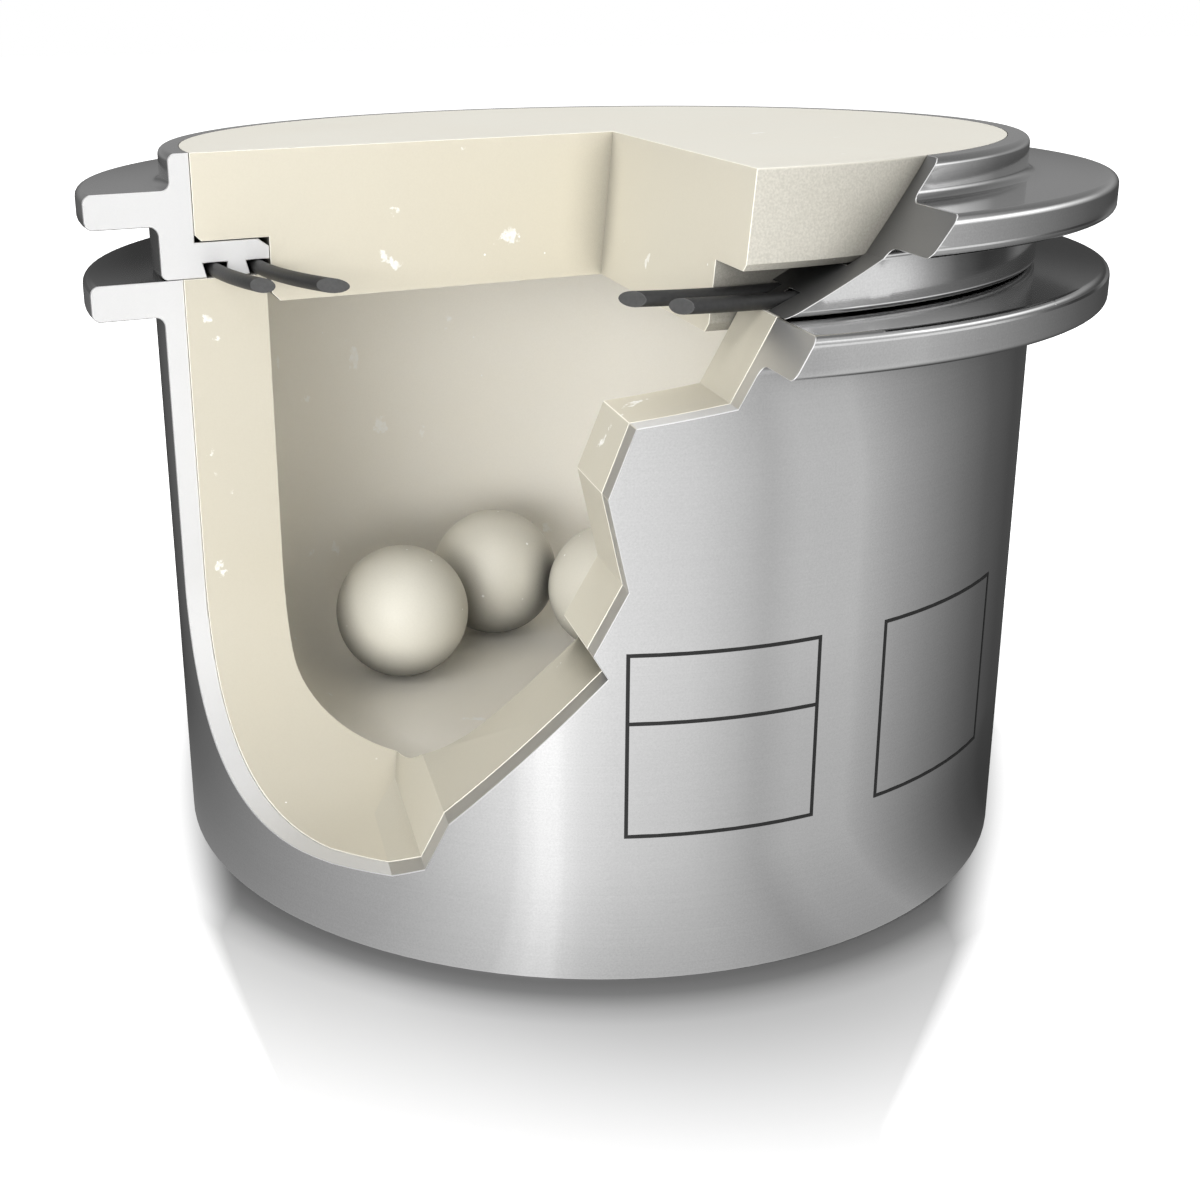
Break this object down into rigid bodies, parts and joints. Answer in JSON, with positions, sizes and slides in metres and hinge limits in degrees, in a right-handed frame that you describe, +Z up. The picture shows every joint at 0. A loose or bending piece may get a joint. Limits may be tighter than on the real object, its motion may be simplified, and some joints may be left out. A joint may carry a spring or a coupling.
{
  "type": "grinding jar",
  "caption": "Cut-away grinding jar of a planetary ball mill: steel jacket with ceramic liner, flanged lid with ceramic insert and seal rings, and loose ceramic balls.",
  "frame": {"origin": "centre of the jar's flat base, on the jar's axis", "axes": "+Z up along the jar's axis; the cut-away side faces -Y, its straight section to the left (-X)"},
  "size_m": [0.15, 0.1461, 0.104],
  "materials": {
    "satin_steel": "satin, fine turned and brushed grain; section faces bright",
    "liner_ceramic": "cream sintered ceramic, ground smooth",
    "ball_ceramic": "cream sintered ceramic, satin",
    "seal_rubber": "black, matt"
  },
  "bodies": {
    "jar": {"jar_jacket": "satin_steel", "jar_liner": "liner_ceramic"},
    "lid": {"lid_ring": "satin_steel", "lid_insert": "liner_ceramic", "outer_seal_ring": "seal_rubber", "inner_seal_ring": "seal_rubber"},
    "ball_1": {"grinding_ball_1": "ball_ceramic"},
    "ball_2": {"grinding_ball_2": "ball_ceramic"},
    "ball_3": {"grinding_ball_3": "ball_ceramic"}
  },
  "joints": [
    {"name": "lid_lift", "type": "slide", "parent": "jar", "child": "lid", "axis": [0, 0, 1], "range_m": [0, 0.08]},
    {"name": "ball_1_circulates", "type": "hinge", "parent": "jar", "child": "ball_1", "pos_m": [0, 0, 0.0265], "axis": [0, 0, 1], "continuous": true},
    {"name": "ball_2_circulates", "type": "hinge", "parent": "jar", "child": "ball_2", "pos_m": [0, 0, 0.0265], "axis": [0, 0, 1], "continuous": true},
    {"name": "ball_3_circulates", "type": "hinge", "parent": "jar", "child": "ball_3", "pos_m": [0, 0, 0.0265], "axis": [0, 0, 1], "continuous": true}
  ],
  "couplings": [
    {"joint": "ball_2_circulates", "follows": "ball_1_circulates", "ratio": 1},
    {"joint": "ball_3_circulates", "follows": "ball_1_circulates", "ratio": 1}
  ]
}
